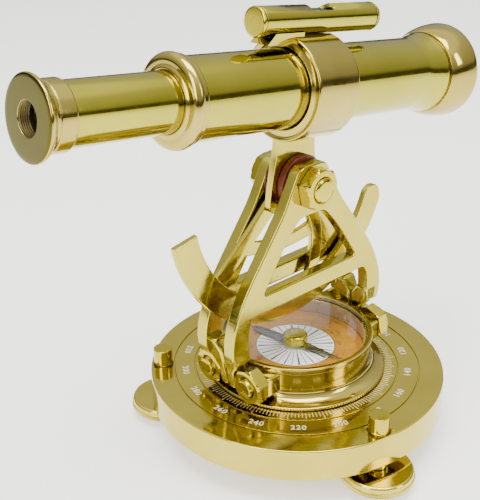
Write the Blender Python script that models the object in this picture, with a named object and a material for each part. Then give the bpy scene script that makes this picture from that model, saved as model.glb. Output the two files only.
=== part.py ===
"""Desk theodolite: base disc on three levelling screws, turning compass bowl,
two A-frames, collar with telescope, vertical arc and spirit level.

Frame: origin at the middle of the flat underside of the base, +Z up along the
spindle, +X towards the objective end, +Y along the tilting axis. Lengths below
are in millimetres and are turned into metres when the meshes are made.
"""
import math

import bmesh
import bpy
from mathutils import Matrix, Vector

MM = 0.001

# base and levelling
BASE_R = 55.0
BASE_H = 12.0
GROOVE_OUT_R = 46.1
GROOVE_IN_R = 38.2
GROOVE_W = 0.9
GROOVE_D = 0.6
SCREW_PCR = 50.4
SCREW_R = 3.6
SCREW_CLEAR = 0.08
SCREW_TOP = 18.3
SCREW_ANGLES = (137.7, 257.7, 377.7)
KNOB_R = 13.0
KNOB_TOP = -2.3
KNOB_BOTTOM = -6.6
FOOT_BOTTOM = -9.6
RECESS_R = 13.0
RECESS_H = 5.5
SPINDLE_R = 4.5

# compass bowl
FLANGE_R = 33.3
BOWL_R = 28.0
BOWL_IN_R = 26.0
FLOOR_Z = 13.9
DIAL_Z = 17.8
GLASS_R = 27.3
GLASS_Z = 24.4
BEZEL_R = 28.7
BEZEL_LIP_R = 26.9
BEZEL_TOP = 26.3
NEEDLE_Z = 18.9
NEEDLE_ANGLE = -79.0

# A-frames and pivot
PIVOT_Z = 85.4
ARC_HUB_R = 9.8
APEX_TOP = 8.4
BOLT_R = 4.4
FRONT_Y = (-8.0, -3.2)
REAR_Y = (6.0, 10.8)
LEG_END_Z = 28.4
FOOT_STUD_Y = 10.0
FOOT_STUD_Z = 20.6
FOOT_STUD_R = 3.5
EAR_X = 29.8
HEX_FOOT = 6.9
HEX_PIVOT = 8.1

# telescope, measured along its axis from the point above the spindle
TILT = math.radians(6.43)
AXIS_UP = 34.04
AXIS_SHIFT = -3.84
TUBE_R = 13.5
TUBE_IN_R = 12.2
DRAW_R = 9.63
DRAW_IN_R = 8.5
COLLAR_R = 18.0
COLLAR_X = (-8.0, 11.7)
LEG_Y = (-0.3, 2.4)
WASHER_R = 10.2

# vertical arc
ARC_OUT_R = 54.6
ARC_IN_R = 44.4
ARC_Y = (2.7, 5.1)
ARC_ENDS = (-163.0, -17.0)

# spirit level
LEVEL_UP = 22.4
LEVEL_R = 4.95
LEVEL_X = (-20.9, 32.4)

for old in list(bpy.data.objects):
    bpy.data.objects.remove(old, do_unlink=True)

root = bpy.data.collections.new("theodolite")
bpy.context.scene.collection.children.link(root)
cutters = bpy.data.collections.new("cutters")
bpy.context.scene.collection.children.link(cutters)

COLOURS = {
    "brass": (0.80, 0.62, 0.24, 0.0, 1.0, 0.12),
    "cast": (0.82, 0.62, 0.28, 0.0, 1.0, 0.16),
    "glass": (0.92, 0.96, 0.95, 0.9, 0.0, 0.02),
    "spirit": (0.72, 0.80, 0.62, 0.8, 0.0, 0.03),
    "fibre": (0.22, 0.05, 0.03, 0.0, 0.0, 0.6),
    "dial": (0.78, 0.55, 0.28, 0.0, 0.0, 0.45),
    "steel": (0.30, 0.29, 0.26, 0.0, 1.0, 0.3),
}


def new_material(name, kind):
    """One Principled material for one piece."""
    red, green, blue, through, metal, rough = COLOURS[kind]
    mat = bpy.data.materials.new(name)
    mat.use_nodes = True
    bsdf = mat.node_tree.nodes["Principled BSDF"]
    bsdf.inputs["Base Color"].default_value = (red, green, blue, 1.0)
    bsdf.inputs["Metallic"].default_value = metal
    bsdf.inputs["Roughness"].default_value = rough
    bsdf.inputs["Transmission Weight"].default_value = through
    return mat


def add_object(name, mesh, kind, parent=None, cutter=False):
    """Wrap a mesh as a named object with its own material."""
    obj = bpy.data.objects.new(name, mesh)
    if cutter:
        cutters.objects.link(obj)
        obj.hide_render = True
        obj.display_type = 'WIRE'
    else:
        root.objects.link(obj)
        mesh.materials.clear()
        mesh.materials.append(new_material(name + "_mat", kind))
    if parent is not None:
        obj.parent = parent
    return obj


def smooth(obj, degrees=35.0):
    """Shade the round faces smooth and keep the edges sharp."""
    obj.data.shade_smooth()
    obj.data.set_sharp_from_angle(angle=math.radians(degrees))


def finish(obj, bm):
    """Point the faces outward and write the mesh."""
    bmesh.ops.recalc_face_normals(bm, faces=bm.faces)
    bm.to_mesh(obj)
    bm.free()


def turned_mesh(name, profile, segs, axis='Z'):
    """Solid of revolution from (radius, height) points taken in order round the
    section. Points with radius 0 close on the axis."""
    mesh = bpy.data.meshes.new(name)
    bm = bmesh.new()
    rings = []
    for radius, height in profile:
        if radius < 1e-6:
            rings.append([bm.verts.new((0.0, 0.0, height * MM))])
            continue
        ring = []
        for i in range(segs):
            a = 2.0 * math.pi * i / segs
            x = radius * math.cos(a) * MM
            y = radius * math.sin(a) * MM
            ring.append(bm.verts.new((x, y, height * MM)))
        rings.append(ring)
    count = len(rings)
    closed = profile[0][0] > 1e-6
    last = count if closed else count - 1
    for k in range(last):
        a_ring = rings[k]
        b_ring = rings[(k + 1) % count]
        for i in range(segs):
            j = (i + 1) % segs
            if len(a_ring) == 1:
                bm.faces.new((a_ring[0], b_ring[i], b_ring[j]))
            elif len(b_ring) == 1:
                bm.faces.new((a_ring[i], b_ring[0], a_ring[j]))
            else:
                bm.faces.new((a_ring[i], b_ring[i], b_ring[j], a_ring[j]))
    if axis == 'X':
        turn = Matrix.Rotation(math.radians(90.0), 4, 'Y')
        bmesh.ops.transform(bm, matrix=turn, verts=bm.verts)
    if axis == 'Y':
        turn = Matrix.Rotation(math.radians(-90.0), 4, 'X')
        bmesh.ops.transform(bm, matrix=turn, verts=bm.verts)
    finish(mesh, bm)
    return mesh


def turned(name, profile, segs, kind, axis='Z', at=(0.0, 0.0, 0.0), parent=None, cutter=False):
    """Turned piece placed at a point given in millimetres."""
    mesh = turned_mesh(name, profile, segs, axis)
    obj = add_object(name, mesh, kind, parent, cutter)
    obj.location = Vector(at) * MM
    if not cutter:
        smooth(obj)
    return obj


def rod_profile(radius, low, high, chamfer=0.0):
    """Section of a plain rod with optional chamfered ends."""
    if chamfer <= 0.0:
        return [(0.0, low), (radius, low), (radius, high), (0.0, high)]
    return [(0.0, low), (radius - chamfer, low), (radius, low + chamfer),
            (radius, high - chamfer), (radius - chamfer, high), (0.0, high)]


def tube_profile(inner, outer, low, high):
    """Section of a plain ring."""
    return [(inner, low), (outer, low), (outer, high), (inner, high)]


def box_mesh(name, low, high):
    """Box between two corners in millimetres."""
    mesh = bpy.data.meshes.new(name)
    bm = bmesh.new()
    bmesh.ops.create_cube(bm, size=1.0)
    low = Vector(low)
    high = Vector(high)
    size = (high - low) * MM
    mid = (high + low) * 0.5 * MM
    for vert in bm.verts:
        vert.co = Vector((vert.co.x * size.x, vert.co.y * size.y, vert.co.z * size.z)) + mid
    finish(mesh, bm)
    return mesh


def hex_mesh(name, corner_r, bore_r, low, high, axis, turn=0.0):
    """Hexagon nut with a round bore and chamfered corners on its outer face."""
    mesh = bpy.data.meshes.new(name)
    bm = bmesh.new()
    segs = 24
    flat = corner_r * math.cos(math.pi / 6.0)
    levels = [(low, 0.0), (high - 0.9, 0.0), (high, 1.0)]
    outer = []
    inner = []
    for height, cut in levels:
        ring = []
        bore = []
        for i in range(segs):
            a = 2.0 * math.pi * i / segs
            step = (a + math.pi / 6.0) % (math.pi / 3.0) - math.pi / 6.0
            reach = flat / math.cos(step)
            if cut > 0.0:
                reach = min(reach, flat + 0.05) - 0.1
            ang = a + math.radians(turn)
            way = Vector((math.cos(ang), math.sin(ang), 0.0)) * MM
            lift = Vector((0.0, 0.0, height * MM))
            ring.append(bm.verts.new(way * reach + lift))
            bore.append(bm.verts.new(way * bore_r + lift))
        outer.append(ring)
        inner.append(bore)
    for i in range(segs):
        j = (i + 1) % segs
        for k in range(2):
            bm.faces.new((outer[k][i], outer[k][j], outer[k + 1][j], outer[k + 1][i]))
        bm.faces.new((inner[0][i], inner[2][i], inner[2][j], inner[0][j]))
        bm.faces.new((outer[0][i], inner[0][i], inner[0][j], outer[0][j]))
        bm.faces.new((outer[2][i], outer[2][j], inner[2][j], inner[2][i]))
    loose = [v for v in inner[1]]
    bmesh.ops.delete(bm, geom=loose, context='VERTS')
    if axis == 'X':
        bmesh.ops.transform(bm, matrix=Matrix.Rotation(math.radians(90.0), 4, 'Y'), verts=bm.verts)
    if axis == 'Y':
        bmesh.ops.transform(bm, matrix=Matrix.Rotation(math.radians(-90.0), 4, 'X'), verts=bm.verts)
    finish(mesh, bm)
    return mesh


def plate_mesh(name, outline, y_low, y_high):
    """Flat plate from an (x, z) outline, thick along Y."""
    mesh = bpy.data.meshes.new(name)
    bm = bmesh.new()
    near = [bm.verts.new((x * MM, y_low * MM, z * MM)) for x, z in outline]
    far = [bm.verts.new((x * MM, y_high * MM, z * MM)) for x, z in outline]
    bm.faces.new(near)
    bm.faces.new(list(reversed(far)))
    count = len(outline)
    for i in range(count):
        j = (i + 1) % count
        bm.faces.new((near[i], far[i], far[j], near[j]))
    finish(mesh, bm)
    return mesh


def arc_points(cx, cz, radius, start, end, steps):
    """Points along a circle in the XZ plane, angles in degrees."""
    points = []
    for i in range(steps + 1):
        a = math.radians(start + (end - start) * i / steps)
        points.append((cx + radius * math.cos(a), cz + radius * math.sin(a)))
    return points


def boolean(obj, other, operation='DIFFERENCE'):
    """Exact boolean with a kept cutter."""
    mod = obj.modifiers.new(operation.lower() + "_" + other.name, 'BOOLEAN')
    mod.operation = operation
    mod.solver = 'EXACT'
    mod.object = other
    return mod


def cut_rod(name, radius, low, high, axis, at, segs=32, parent=None):
    """Round cutter."""
    return turned(name, rod_profile(radius, low, high), segs, "brass", axis, at, parent, True)


def cut_box(name, low, high, parent=None):
    """Box cutter or adder."""
    return add_object(name, box_mesh(name, low, high), "brass", parent, True)


# ---------------------------------------------------------------- base disc
base_profile = [
    (SPINDLE_R + 0.06, RECESS_H), (RECESS_R, RECESS_H), (RECESS_R, 0.0),
    (BASE_R - 0.8, 0.0), (BASE_R, 0.8), (BASE_R, BASE_H - 0.5), (BASE_R - 0.5, BASE_H),
    (GROOVE_OUT_R + GROOVE_W / 2, BASE_H), (GROOVE_OUT_R, BASE_H - GROOVE_D),
    (GROOVE_OUT_R - GROOVE_W / 2, BASE_H), (GROOVE_IN_R + GROOVE_W / 2, BASE_H),
    (GROOVE_IN_R, BASE_H - GROOVE_D), (GROOVE_IN_R - GROOVE_W / 2, BASE_H),
    (SPINDLE_R + 0.06, BASE_H),
]
base = turned("base_plate", base_profile, 52, "brass")
for number, angle in enumerate(SCREW_ANGLES, 1):
    a = math.radians(angle)
    place = (SCREW_PCR * math.cos(a), SCREW_PCR * math.sin(a), 0.0)
    boolean(base, cut_rod("cut_screw_%d" % number, SCREW_R + SCREW_CLEAR, -2.0, 16.0, 'Z', place, 20))

turned("base_cover", rod_profile(RECESS_R - 0.3, 0.0, 0.8), 32, "brass")

# ------------------------------------------------ levelling screws and feet
for number, angle in enumerate(SCREW_ANGLES, 1):
    a = math.radians(angle)
    place = (SCREW_PCR * math.cos(a), SCREW_PCR * math.sin(a), 0.0)
    shank = [(0.0, KNOB_TOP + 0.3), (SCREW_R, KNOB_TOP + 0.3),
             (SCREW_R, SCREW_TOP - 0.5), (SCREW_R - 0.5, SCREW_TOP), (0.0, SCREW_TOP)]
    turned("levelling_screw_%d" % number, shank, 20, "brass", 'Z', place)
    knob = [(0.0, KNOB_BOTTOM), (KNOB_R - 2.0, KNOB_BOTTOM), (KNOB_R - 0.2, KNOB_BOTTOM + 0.5),
            (KNOB_R, KNOB_BOTTOM + 0.9), (KNOB_R, KNOB_BOTTOM + 2.0), (KNOB_R - 0.5, KNOB_BOTTOM + 2.3),
            (KNOB_R - 0.5, KNOB_TOP - 0.5), (KNOB_R - 1.1, KNOB_TOP), (0.0, KNOB_TOP)]
    turned("levelling_knob_%d" % number, knob, 32, "brass", 'Z', place)
    tip = [(0.0, FOOT_BOTTOM), (2.6, FOOT_BOTTOM), (6.4, KNOB_BOTTOM - 0.7), (6.0, KNOB_BOTTOM - 0.3),
           (0.0, KNOB_BOTTOM - 0.3)]
    turned("foot_tip_%d" % number, tip, 20, "brass", 'Z', place)

# ------------------------------------------------------- spindle and bowl
spindle = [(0.0, 1.3), (SPINDLE_R - 0.5, 1.3), (SPINDLE_R, 1.8), (SPINDLE_R, FLOOR_Z + 0.05),
           (8.0, FLOOR_Z + 0.05), (8.0, FLOOR_Z + 0.5), (0.0, FLOOR_Z + 0.5)]
turned("centre_spindle", spindle, 20, "brass")
turned("spindle_washer", tube_profile(SPINDLE_R + 0.3, 9.0, 4.4, 5.2), 20, "brass")
nut = add_object("spindle_nut", hex_mesh("spindle_nut", 7.5, SPINDLE_R + 0.3, -4.1, -1.3, 'Z'), "brass")
nut.rotation_euler = (math.pi, 0.0, 0.0)

bowl_profile = [
    (SPINDLE_R + 0.3, 12.3), (FLANGE_R - 0.3, 12.3), (FLANGE_R, 12.5), (FLANGE_R, 13.1),
    (FLANGE_R - 0.3, 13.3), (31.6, 13.6), (29.9, 14.2), (28.8, 15.0), (BOWL_R, 16.2),
    (BOWL_R, 23.9), (BOWL_IN_R, 23.9), (BOWL_IN_R, DIAL_Z - 0.15),
    (24.0, DIAL_Z - 0.15), (24.0, FLOOR_Z), (SPINDLE_R + 0.3, FLOOR_Z),
]
bowl = turned("compass_bowl", bowl_profile, 40, "cast")
for side in (-1, 1):
    boolean(bowl, cut_rod("cut_bowl_%s" % ("front" if side < 0 else "rear"), FOOT_STUD_R + 0.3,
                          -45.0, 45.0, 'X', (0.0, side * FOOT_STUD_Y, FOOT_STUD_Z), 16))

turned("compass_dial", tube_profile(1.9, 25.7, DIAL_Z, DIAL_Z + 0.6), 40, "dial")
pivot_profile = [(0.0, DIAL_Z - 0.2), (1.6, DIAL_Z - 0.2), (1.6, DIAL_Z + 0.8), (0.9, DIAL_Z + 1.1),
                 (0.25, NEEDLE_Z + 0.2), (0.0, NEEDLE_Z + 0.2)]
turned("needle_pivot", pivot_profile, 16, "brass")
glass_profile = rod_profile(GLASS_R, GLASS_Z, GLASS_Z + 1.2)
turned("compass_glass", glass_profile, 40, "glass")
bezel_profile = [
    (26.9, 24.2), (BEZEL_R - 0.3, 24.2), (BEZEL_R, 24.5), (BEZEL_R, BEZEL_TOP - 0.5),
    (BEZEL_R - 0.5, BEZEL_TOP), (BEZEL_LIP_R + 0.2, BEZEL_TOP), (BEZEL_LIP_R, BEZEL_TOP - 0.2),
    (BEZEL_LIP_R, GLASS_Z + 1.4), (GLASS_R + 0.3, GLASS_Z + 1.4), (GLASS_R + 0.3, 24.35), (26.9, 24.35),
]
turned("bezel_ring", bezel_profile, 40, "cast")

# needle: flat pointed blade resting over the pivot, and its round cap
needle_axis = bpy.data.objects.new("needle_axis", None)
needle_axis.location = (0.0, 0.0, NEEDLE_Z * MM)
needle_axis.rotation_euler = (0.0, 0.0, math.radians(NEEDLE_ANGLE))
root.objects.link(needle_axis)
needle_mesh = bpy.data.meshes.new("compass_needle")
needle_bm = bmesh.new()
needle_outline = [(20.8, 0.0), (3.4, 2.6), (-17.0, 2.2), (-20.8, 0.0), (-17.0, -2.2), (3.4, -2.6)]
needle_low = [needle_bm.verts.new((x * MM, y * MM, 0.4 * MM)) for x, y in needle_outline]
needle_high = [needle_bm.verts.new((x * MM, y * MM, 0.9 * MM)) for x, y in needle_outline]
needle_bm.faces.new(needle_low)
needle_bm.faces.new(needle_high)
for i in range(6):
    j = (i + 1) % 6
    needle_bm.faces.new((needle_low[i], needle_low[j], needle_high[j], needle_high[i]))
finish(needle_mesh, needle_bm)
add_object("compass_needle", needle_mesh, "steel", needle_axis)
turned("needle_cap", [(0.0, 1.1), (4.6, 1.1), (4.6, 3.9), (4.0, 4.6), (0.0, 4.6)], 20, "brass",
       'Z', (0.0, 0.0, 0.0), needle_axis)

# ------------------------------------------------------------- A-frames
right_side = [
    (14.2, 79.0), (19.4, 72.0), (23.6, 66.6), (28.8, 59.4), (33.0, 53.4), (36.2, 47.0),
    (38.4, 41.0), (39.2, 35.5), (38.8, 31.0), (37.6, LEG_END_Z), (31.0, LEG_END_Z),
    (31.0, 40.0), (30.0, 43.2), (27.4, 44.8), (14.0, 44.6),
]
apex = [(-9.3, PIVOT_Z + 1.0), (-8.3, PIVOT_Z + 5.0), (-6.7, PIVOT_Z + 7.5), (-4.4, PIVOT_Z + APEX_TOP)]
apex += [(-x, z) for x, z in reversed(apex)]
outline = [p for p in right_side] + [(0.0, 44.6)]
outline += [(-x, z) for x, z in reversed(right_side)]
outline += apex
opening = [(-23.6, 51.5), (23.6, 51.5), (23.9, 52.2), (12.4, 68.6), (6.6, 74.2), (4.2, 75.2),
           (-4.2, 75.2), (-6.6, 74.2), (-12.4, 68.6), (-23.9, 52.2)]


def a_frame(name, y_low, y_high, side):
    """Cast frame: plate with a triangular window, two risers and two ears that
    stand against the bowl's wall."""
    obj = add_object(name, plate_mesh(name, outline, y_low, y_high), "cast")
    window_mesh = plate_mesh(name + "_window", opening, y_low - 2.0, y_high + 2.0)
    window = add_object(name + "_window", window_mesh, "cast", None, True)
    inner = min(abs(y_low), abs(y_high)) + 0.9
    for end in (-1, 1):
        tag = "%s_%s" % (name, "left" if end < 0 else "right")
        y0, y1 = sorted((side * 0.3, side * inner))
        x0, x1 = sorted((end * 31.0, end * 38.0))
        boolean(obj, cut_box(tag + "_bridge", (x0, y0, LEG_END_Z + 0.1), (x1, y1, 34.0)), 'UNION')
        y0, y1 = sorted((side * 0.3, side * 3.7))
        x0, x1 = sorted((end * 29.7, end * 37.0))
        boolean(obj, cut_box(tag + "_riser", (x0, y0, 16.4), (x1, y1, 29.0)), 'UNION')
        y0, y1 = sorted((side * 0.31, side * 15.4))
        x0, x1 = sorted((end * 18.0, end * EAR_X))
        boolean(obj, cut_box(tag + "_ear", (x0, y0, 16.5), (x1, y1, 24.1)), 'UNION')
    boolean(obj, window)
    boolean(obj, cut_rod(name + "_bowl_clear", BOWL_R + 0.3, 14.0, 24.3, 'Z', (0.0, 0.0, 0.0), 40))
    boolean(obj, cut_rod(name + "_bezel_clear", BEZEL_R + 0.3, 23.0, 30.0, 'Z', (0.0, 0.0, 0.0), 40))
    boolean(obj, cut_rod(name + "_bore", BOLT_R + 0.3, y_low - 2.0, y_high + 2.0, 'Y',
                         (0.0, 0.0, PIVOT_Z), 20))
    boolean(obj, cut_rod(name + "_stud_bore", FOOT_STUD_R + 0.3, -45.0, 45.0, 'X',
                         (0.0, side * FOOT_STUD_Y, FOOT_STUD_Z), 16))
    return obj


a_frame("front_a_frame", FRONT_Y[0], FRONT_Y[1], -1)
a_frame("rear_a_frame", REAR_Y[0], REAR_Y[1], 1)

for face, side in (("front", -1), ("rear", 1)):
    for end in (-1, 1):
        tag = "%s_%s" % (face, "left" if end < 0 else "right")
        place = (0.0, side * FOOT_STUD_Y, FOOT_STUD_Z)
        low, high = (25.4, 36.2) if end > 0 else (-36.2, -25.4)
        turned("foot_stud_" + tag, rod_profile(FOOT_STUD_R, low, high, 0.5), 16, "brass", 'X', place)
        nut_mesh = hex_mesh("foot_nut_" + tag, HEX_FOOT, FOOT_STUD_R + 0.3,
                            EAR_X + 0.2, EAR_X + 5.2, 'X', 30.0)
        foot_nut = add_object("foot_nut_" + tag, nut_mesh, "brass")
        foot_nut.location = Vector(place) * MM
        if end < 0:
            foot_nut.rotation_euler = (0.0, 0.0, math.pi)

# ---------------------------------------------------------- pivot hardware
pivot_at = (0.0, 0.0, PIVOT_Z)
bolt = [(0.0, -13.9), (3.2, -13.7), (BOLT_R, -13.1), (BOLT_R, 16.4), (3.0, 17.2), (0.0, 17.4)]
turned("pivot_bolt", bolt, 20, "brass", 'Y', pivot_at)
front_mesh = hex_mesh("pivot_nut_front", HEX_PIVOT, BOLT_R + 0.3,
                      -FRONT_Y[0] + 0.2, -FRONT_Y[0] + 4.8, 'Y', 12.0)
front_nut = add_object("pivot_nut_front", front_mesh, "brass")
front_nut.location = Vector(pivot_at) * MM
front_nut.rotation_euler = (0.0, 0.0, math.pi)
rear_mesh = hex_mesh("pivot_nut_rear", HEX_PIVOT, BOLT_R + 0.3,
                     REAR_Y[1] + 0.2, REAR_Y[1] + 5.2, 'Y', 24.0)
rear_nut = add_object("pivot_nut_rear", rear_mesh, "brass")
rear_nut.location = Vector(pivot_at) * MM
turned("washer_front", tube_profile(BOLT_R + 0.3, WASHER_R, -3.0, -0.5), 28, "fibre", 'Y', pivot_at)
turned("washer_rear", tube_profile(BOLT_R + 0.3, WASHER_R, 5.25, 5.85), 28, "fibre", 'Y', pivot_at)

# --------------------------------------------------- tilting parts, on an empty
tilt_axis = bpy.data.objects.new("tilt_axis", None)
tilt_axis.location = (0.0, 0.0, PIVOT_Z * MM)
tilt_axis.rotation_euler = (0.0, TILT, 0.0)
root.objects.link(tilt_axis)
ON_AXIS = (AXIS_SHIFT, 0.0, AXIS_UP)

collar_profile = [
    (TUBE_R + 0.3, COLLAR_X[0]), (COLLAR_R - 2.4, COLLAR_X[0]), (COLLAR_R - 1.9, COLLAR_X[0] - 0.5),
    (COLLAR_R - 0.5, COLLAR_X[0] - 0.5), (COLLAR_R, COLLAR_X[0]), (COLLAR_R, COLLAR_X[1] - 0.5),
    (COLLAR_R - 0.6, COLLAR_X[1]), (TUBE_R + 0.3, COLLAR_X[1]),
]
collar = turned("collar", collar_profile, 40, "cast", 'X', ON_AXIS, tilt_axis)
mid_x = AXIS_SHIFT + (COLLAR_X[0] + COLLAR_X[1]) / 2.0
leg_outline = [
    (mid_x - 10.0, AXIS_UP - 14.6), (mid_x - 9.5, AXIS_UP - 19.5), (mid_x - 9.5, AXIS_UP - 23.0),
    (-12.6, 2.0), (-12.9, -5.0), (-12.0, -8.6), (-9.6, -10.8),
]
leg_outline += arc_points(0.0, -0.6, 10.4, 262.0, 386.0, 12)
leg_outline += [(9.4, 4.6), (mid_x + 9.1, AXIS_UP - 23.0), (mid_x + 9.5, AXIS_UP - 19.5),
                (mid_x + 9.9, AXIS_UP - 14.6)]
leg = add_object("collar_leg", plate_mesh("collar_leg", leg_outline, LEG_Y[0], LEG_Y[1]),
                 "cast", tilt_axis, True)
lug_outline = [(AXIS_SHIFT - 17.6, AXIS_UP + 14.9), (AXIS_SHIFT - 7.0, AXIS_UP + 14.3),
               (AXIS_SHIFT - 7.0, AXIS_UP + 19.0), (AXIS_SHIFT - 15.6, AXIS_UP + 19.0)]
lug = add_object("collar_lug", plate_mesh("collar_lug", lug_outline, -4.2, 4.2), "cast", tilt_axis, True)
boolean(collar, leg, 'UNION')
boolean(collar, lug, 'UNION')
boolean(collar, cut_rod("cut_level_seat", LEVEL_R + 0.3, -60.0, 60.0, 'X',
                        (0.0, 0.0, AXIS_UP + LEVEL_UP), 28, tilt_axis))
boolean(collar, cut_rod("cut_leg_bore", BOLT_R + 0.06, -6.0, 6.0, 'Y', (0.0, 0.0, 0.0), 20, tilt_axis))
boolean(collar, cut_rod("cut_collar_bore", TUBE_R + 0.3, -20.0, 24.0, 'X', ON_AXIS, 40, tilt_axis))

tube_profile_pts = [
    (TUBE_IN_R, -53.8), (TUBE_R - 0.3, -53.8), (TUBE_R, -53.5), (TUBE_R, 56.0),
    (TUBE_R + 0.35, 60.0), (TUBE_R + 1.0, 64.0), (TUBE_R + 1.5, 66.6), (TUBE_R + 1.5, 67.2),
    (TUBE_R + 0.1, 67.2), (TUBE_R + 0.1, 74.6), (TUBE_IN_R, 74.6),
]
turned("main_tube", tube_profile_pts, 36, "brass", 'X', ON_AXIS, tilt_axis)
end_ring = [
    (DRAW_R + 0.08, -57.3), (10.4, -57.3), (11.2, -57.1), (13.6, -56.4), (14.7, -55.6), (15.1, -54.7),
    (15.0, -53.9), (14.5, -53.5), (14.5, -51.9), (14.1, -51.4), (TUBE_R + 0.3, -51.4),
    (TUBE_R + 0.3, -54.2), (DRAW_R + 0.08, -54.2),
]
turned("tube_end_ring", end_ring, 36, "cast", 'X', ON_AXIS, tilt_axis)
objective_ring = [
    (TUBE_R + 0.4, 67.5), (15.2, 67.5), (16.3, 69.3), (17.3, 72.4), (17.9, 76.0), (18.1, 78.6), (17.9, 80.0),
    (17.2, 80.8), (16.0, 80.8), (14.9, 80.3), (14.4, 79.6), (14.4, 76.4), (12.9, 76.4), (12.9, 75.0),
    (TUBE_R + 0.4, 75.0),
]
turned("objective_ring", objective_ring, 36, "cast", 'X', ON_AXIS, tilt_axis)
lens = [(0.0, 76.6), (6.0, 76.65), (14.1, 76.7), (14.1, 77.9), (6.0, 78.8), (0.0, 79.0)]
turned("objective_lens", lens, 28, "glass", 'X', ON_AXIS, tilt_axis)
turned("lens_retainer", tube_profile(12.9, 14.1, 78.2, 79.6), 28, "brass", 'X', ON_AXIS, tilt_axis)

# --------------------------------------------- draw tube and eyepiece
turned("draw_tube", tube_profile(DRAW_IN_R, DRAW_R, -98.1, -34.0), 32, "brass", 'X', ON_AXIS, tilt_axis)
cup = [
    (4.7, -103.5), (11.6, -103.5), (12.4, -103.3), (12.6, -102.7), (12.3, -102.0), (11.6, -101.3),
    (10.9, -100.7), (10.5, -100.2), (10.5, -94.2), (10.2, -93.7), (DRAW_R + 0.3, -93.7),
    (DRAW_R + 0.3, -98.4), (8.0, -98.4), (8.0, -99.7), (4.7, -99.7),
]
turned("eyepiece_cup", cup, 32, "cast", 'X', ON_AXIS, tilt_axis)
eye_lens = [(0.0, -99.3), (7.7, -98.9), (7.7, -97.9), (0.0, -97.2)]
turned("eye_lens", eye_lens, 20, "glass", 'X', ON_AXIS, tilt_axis)
turned("draw_stop_ring", tube_profile(DRAW_R + 0.3, TUBE_IN_R - 0.1, -46.0, -42.0), 28, "brass",
       'X', ON_AXIS, tilt_axis)

# ------------------------------------------------------- spirit level
on_level = (AXIS_SHIFT, 0.0, AXIS_UP + LEVEL_UP)
level_case = turned("level_case", tube_profile(3.75, LEVEL_R, LEVEL_X[0], LEVEL_X[1]), 28, "brass",
                    'X', on_level, tilt_axis)
boolean(level_case, cut_box("cut_level_window", (AXIS_SHIFT, -4.0, AXIS_UP + LEVEL_UP + 3.0),
                            (AXIS_SHIFT + 12.8, 4.0, AXIS_UP + LEVEL_UP + 8.0), tilt_axis))
cap_front = [(0.0, -22.5), (LEVEL_R - 0.4, -22.5), (LEVEL_R + 0.1, -22.1), (LEVEL_R + 0.1, -21.2),
             (3.5, -21.2), (3.5, -18.0), (0.0, -18.0)]
turned("level_cap_front", cap_front, 28, "brass", 'X', on_level, tilt_axis)
cap_rear = [(0.0, 30.0), (3.5, 30.0), (3.5, 32.7), (LEVEL_R + 0.1, 32.7), (LEVEL_R + 0.1, 33.4),
            (4.4, 34.9), (3.0, 35.6), (0.0, 35.8)]
turned("level_cap_rear", cap_rear, 28, "brass", 'X', on_level, tilt_axis)
vial = [(0.0, -15.0), (2.4, -14.6), (3.2, -13.4), (3.2, 26.4), (2.4, 27.6), (0.0, 28.0)]
turned("level_vial", vial, 20, "spirit", 'X', on_level, tilt_axis)

# ------------------------------------------------------- vertical arc
arc_start, arc_end = ARC_ENDS
rim = arc_points(0.0, 0.0, ARC_OUT_R, arc_start, arc_end, 26)
tip_x = ARC_IN_R * 1.11 * math.cos(math.radians(arc_end))
tip_z = ARC_IN_R * 1.11 * math.sin(math.radians(arc_end))
rim += arc_points(tip_x, tip_z, 5.0, arc_end + 8.0, arc_end + 172.0, 8)
rim += arc_points(0.0, 0.0, ARC_IN_R, arc_end, arc_start, 26)
arc = add_object("vertical_arc", plate_mesh("vertical_arc", rim, ARC_Y[0], ARC_Y[1]), "cast", tilt_axis)


def band(start, control, end, width, steps=10):
    """Curved band of even width along a quadratic curve in the XZ plane."""
    left = []
    right = []
    for i in range(steps + 1):
        t = i / steps
        x = (1 - t) ** 2 * start[0] + 2 * t * (1 - t) * control[0] + t * t * end[0]
        z = (1 - t) ** 2 * start[1] + 2 * t * (1 - t) * control[1] + t * t * end[1]
        dx = 2 * (1 - t) * (control[0] - start[0]) + 2 * t * (end[0] - control[0])
        dz = 2 * (1 - t) * (control[1] - start[1]) + 2 * t * (end[1] - control[1])
        size = math.hypot(dx, dz)
        left.append((x - dz / size * width / 2, z + dx / size * width / 2))
        right.append((x + dz / size * width / 2, z - dx / size * width / 2))
    return left + list(reversed(right))


spokes = (
    ("spoke_right", band((5.0, -5.0), (24.0, -20.0), (14.0, -47.0), 5.6)),
    ("spoke_left", band((-5.0, -5.0), (-22.0, -24.0), (-33.0, -35.0), 5.6)),
    ("spoke_link", band((-20.4, -22.0), (-2.0, -27.0), (16.0, -20.0), 4.8)),
)
for spoke_name, spoke_outline in spokes:
    spoke_mesh = plate_mesh("arc_" + spoke_name, spoke_outline, ARC_Y[0] + 0.01, ARC_Y[1] - 0.01)
    spoke = add_object("arc_" + spoke_name, spoke_mesh, "cast", tilt_axis, True)
    boolean(arc, spoke, 'UNION')
hub = turned("arc_hub", rod_profile(ARC_HUB_R, ARC_Y[0] + 0.02, ARC_Y[1] - 0.02), 28, "cast",
             'Y', (0.0, 0.0, 0.0), tilt_axis, True)
boolean(arc, hub, 'UNION')
boolean(arc, cut_rod("cut_arc_bore", BOLT_R + 0.06, -2.0, 9.0, 'Y', (0.0, 0.0, 0.0), 20, tilt_axis))
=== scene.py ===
import math

import bmesh
import bpy
from mathutils import Matrix, Vector


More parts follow.
